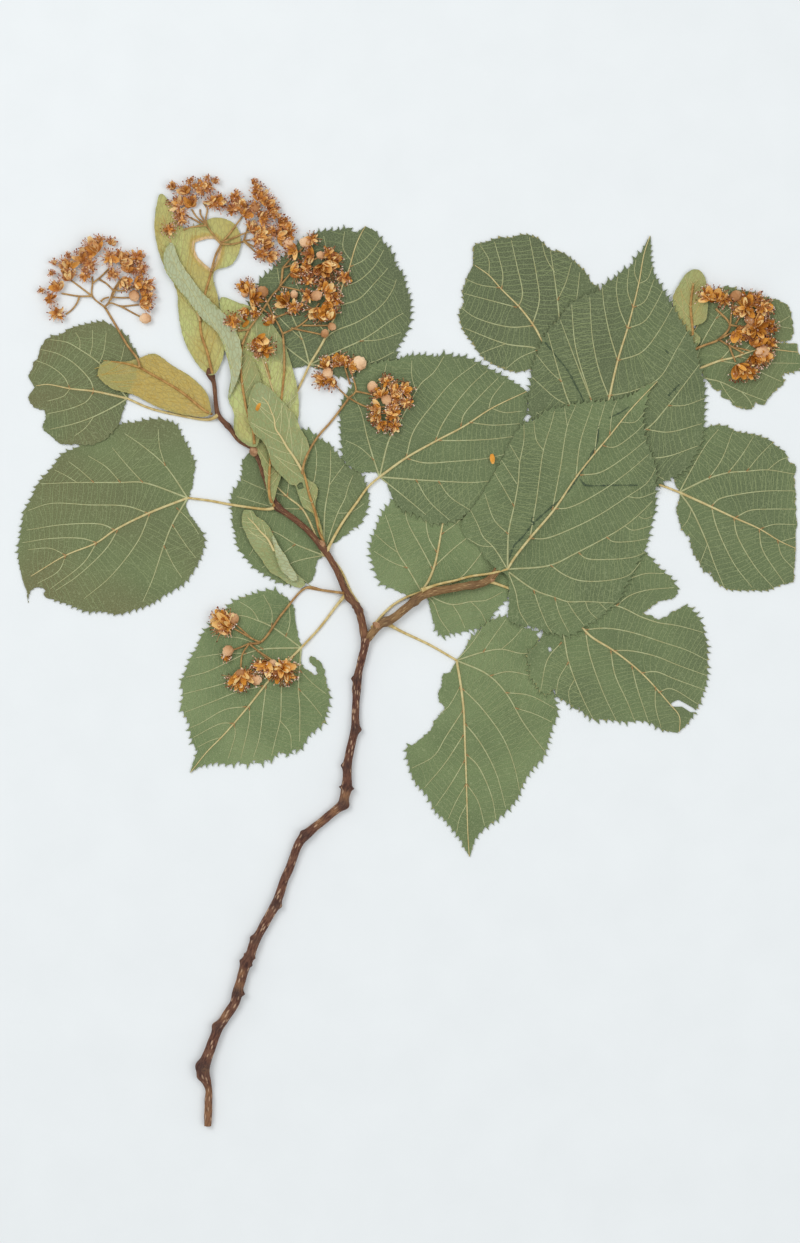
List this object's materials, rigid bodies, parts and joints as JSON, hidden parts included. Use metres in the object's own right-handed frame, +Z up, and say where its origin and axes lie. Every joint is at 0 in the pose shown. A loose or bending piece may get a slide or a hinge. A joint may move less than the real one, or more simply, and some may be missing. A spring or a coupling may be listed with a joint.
{
  "type": "cut flowering linden branch",
  "caption": "Pressed branch of a linden lying flat: forked stem, broad heart-shaped leaves, and flower stalks that each grow from a strap-shaped bract.",
  "frame": {"origin": "bottom centre of the box round the branch, on the surface it lies on", "axes": "+Y from the cut end of the stem towards the upper leaves and flowers, +X to the right seen from above, +Z up off the surface"},
  "size_m": [0.2816, 0.3384, 0.0077],
  "materials": {
    "old_bark": "dull grey-brown bark with small corky spots",
    "young_bark": "smooth reddish-brown bark with a faint sheen",
    "leaf": "matt dried grey-green leaf underside with paler veins",
    "bract": "papery yellow-green, finely net-veined",
    "flower": "dried ochre petals, stamens and buds, matt"
  },
  "bodies": {
    "root": {"main_stem": "old_bark", "leader": "young_bark", "side_shoot": "young_bark", "leaf_1": "leaf", "leaf_2": "leaf", "leaf_3": "leaf", "leaf_4": "leaf", "leaf_5": "leaf", "leaf_6": "leaf", "leaf_7": "leaf", "leaf_8": "leaf", "leaf_9": "leaf", "leaf_10": "leaf", "leaf_11": "leaf", "leaf_12": "leaf", "leaf_13": "leaf", "leaf_14": "leaf", "bract_1": "bract", "bract_2": "bract", "bract_3": "bract", "bract_4": "bract", "bract_5": "bract", "bract_6": "bract", "bract_7": "bract", "flowers_1": "flower", "flowers_2": "flower", "flowers_3": "flower", "flowers_4": "flower", "flowers_5": "flower", "flowers_6": "flower", "flowers_7": "flower"}
  },
  "joints": []
}
